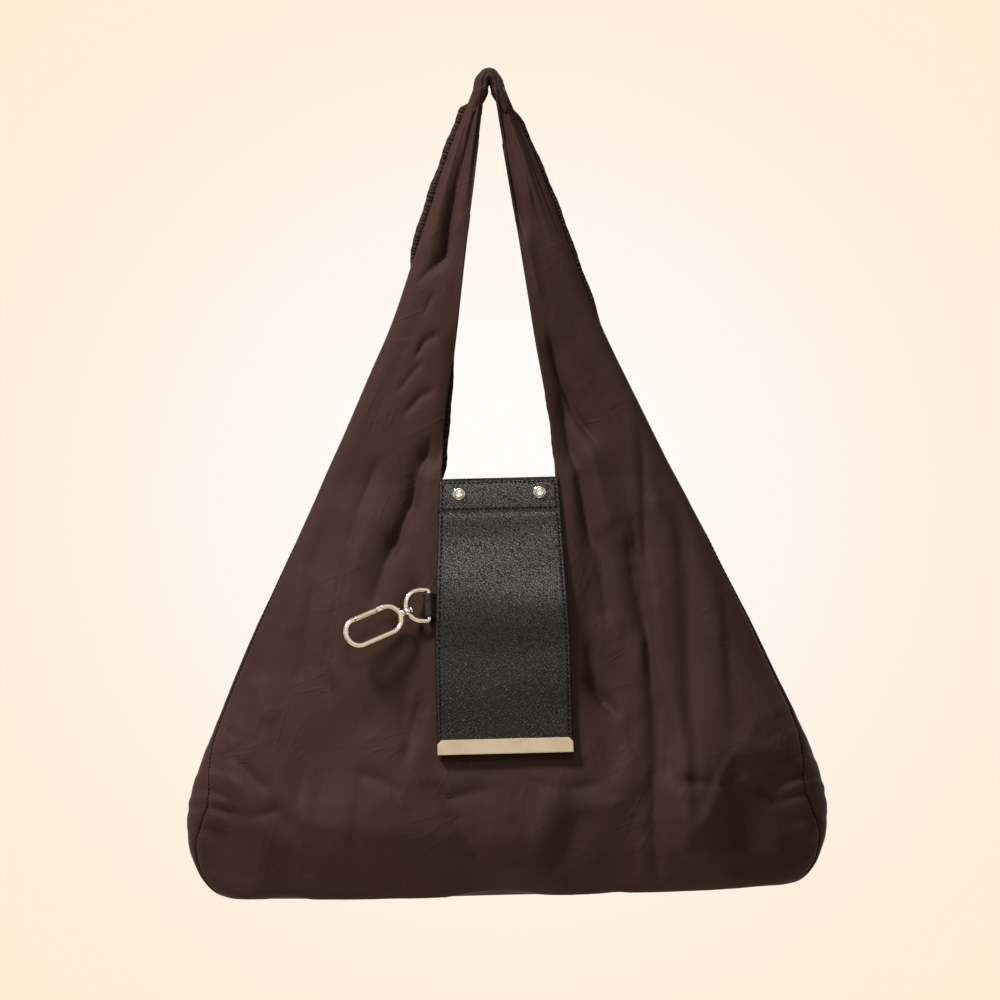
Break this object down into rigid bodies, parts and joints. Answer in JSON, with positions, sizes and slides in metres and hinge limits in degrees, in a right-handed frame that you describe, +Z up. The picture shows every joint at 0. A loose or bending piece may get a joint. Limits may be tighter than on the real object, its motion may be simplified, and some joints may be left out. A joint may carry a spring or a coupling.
{
  "type": "foldable shopping bag",
  "caption": "Hanging foldable cloth shopping bag: gusseted body, straps joined in a carrying loop, a leather wrap flap that snaps shut, and a swivel clip on the flap's edge.",
  "frame": {"origin": "point on the underside of the handle's crown where a hook bears, on the bag's middle plane", "axes": "+Z up along the hanging bag, +X to the viewer's right, the front with the leather flap towards -Y"},
  "size_m": [0.384, 0.1106, 0.493],
  "materials": {
    "cloth": "smooth nylon with a slight sheen",
    "hem_tape": "gathered nylon tape",
    "leather": "pebbled grain, satin",
    "leather_lining": "smooth, matt",
    "gold_metal": "polished pale gold plating"
  },
  "bodies": {
    "handle": {"left_strap": "cloth", "right_strap": "cloth", "strap_crown": "cloth", "left_strap_elastic": "hem_tape", "right_strap_elastic": "hem_tape"},
    "bag": {"front_panel": "cloth", "back_panel": "cloth", "left_gusset": "cloth", "right_gusset": "cloth", "base_panel": "cloth", "back_mouth_binding": "hem_tape", "mouth_band": "leather", "band_backing": "leather_lining", "snap_stud_left": "gold_metal", "snap_stud_right": "gold_metal", "stud_rivet_left": "gold_metal", "stud_rivet_right": "gold_metal"},
    "flap_upper": {"flap_upper_leather": "leather", "flap_upper_lining": "leather_lining", "clip_tab": "leather"},
    "flap_lower": {"flap_lower_leather": "leather", "flap_lower_lining": "leather_lining", "edge_bar": "gold_metal", "snap_socket_left": "gold_metal", "snap_socket_right": "gold_metal", "socket_rivet_left": "gold_metal", "socket_rivet_right": "gold_metal"},
    "swivel_bow": {"swivel_bow": "gold_metal"},
    "clip": {"clip_frame": "gold_metal", "swivel_pin": "gold_metal", "gate_pin": "gold_metal"},
    "gate": {"clip_gate": "gold_metal", "gate_spring": "gold_metal"}
  },
  "joints": [
    {"name": "bag_swing", "type": "hinge", "parent": "handle", "child": "bag", "pos_m": [0, 0.016, -0.23385], "axis": [1, 0, 0], "range_deg": [0, 100], "stiffness_Nm_per_rad": 0.12, "springref_deg": -22.92},
    {"name": "flap_lift", "type": "hinge", "parent": "bag", "child": "flap_upper", "pos_m": [0, -0.02251, -0.25327], "axis": [-1, 0, 0], "range_deg": [0, 120]},
    {"name": "flap_fold", "type": "hinge", "parent": "flap_upper", "child": "flap_lower", "pos_m": [0, -0.03866, -0.33061], "axis": [-1, 0, 0], "range_deg": [0, 100]},
    {"name": "bow_swing", "type": "hinge", "parent": "flap_upper", "child": "swivel_bow", "pos_m": [-0.04316, -0.03455, -0.30756], "axis": [0, 0.2044, 0.9789], "range_deg": [0, 55]},
    {"name": "clip_swivel", "type": "hinge", "parent": "swivel_bow", "child": "clip", "pos_m": [-0.0477, -0.03574, -0.30731], "axis": [-0.8824, -0.3146, -0.3498], "continuous": true},
    {"name": "gate_open", "type": "hinge", "parent": "clip", "child": "gate", "pos_m": [-0.07185, -0.04258, -0.30842], "axis": [0.2588, -0.9455, 0.1974], "range_deg": [0, 25], "stiffness_Nm_per_rad": 0.004, "springref_deg": -17.19}
  ]
}
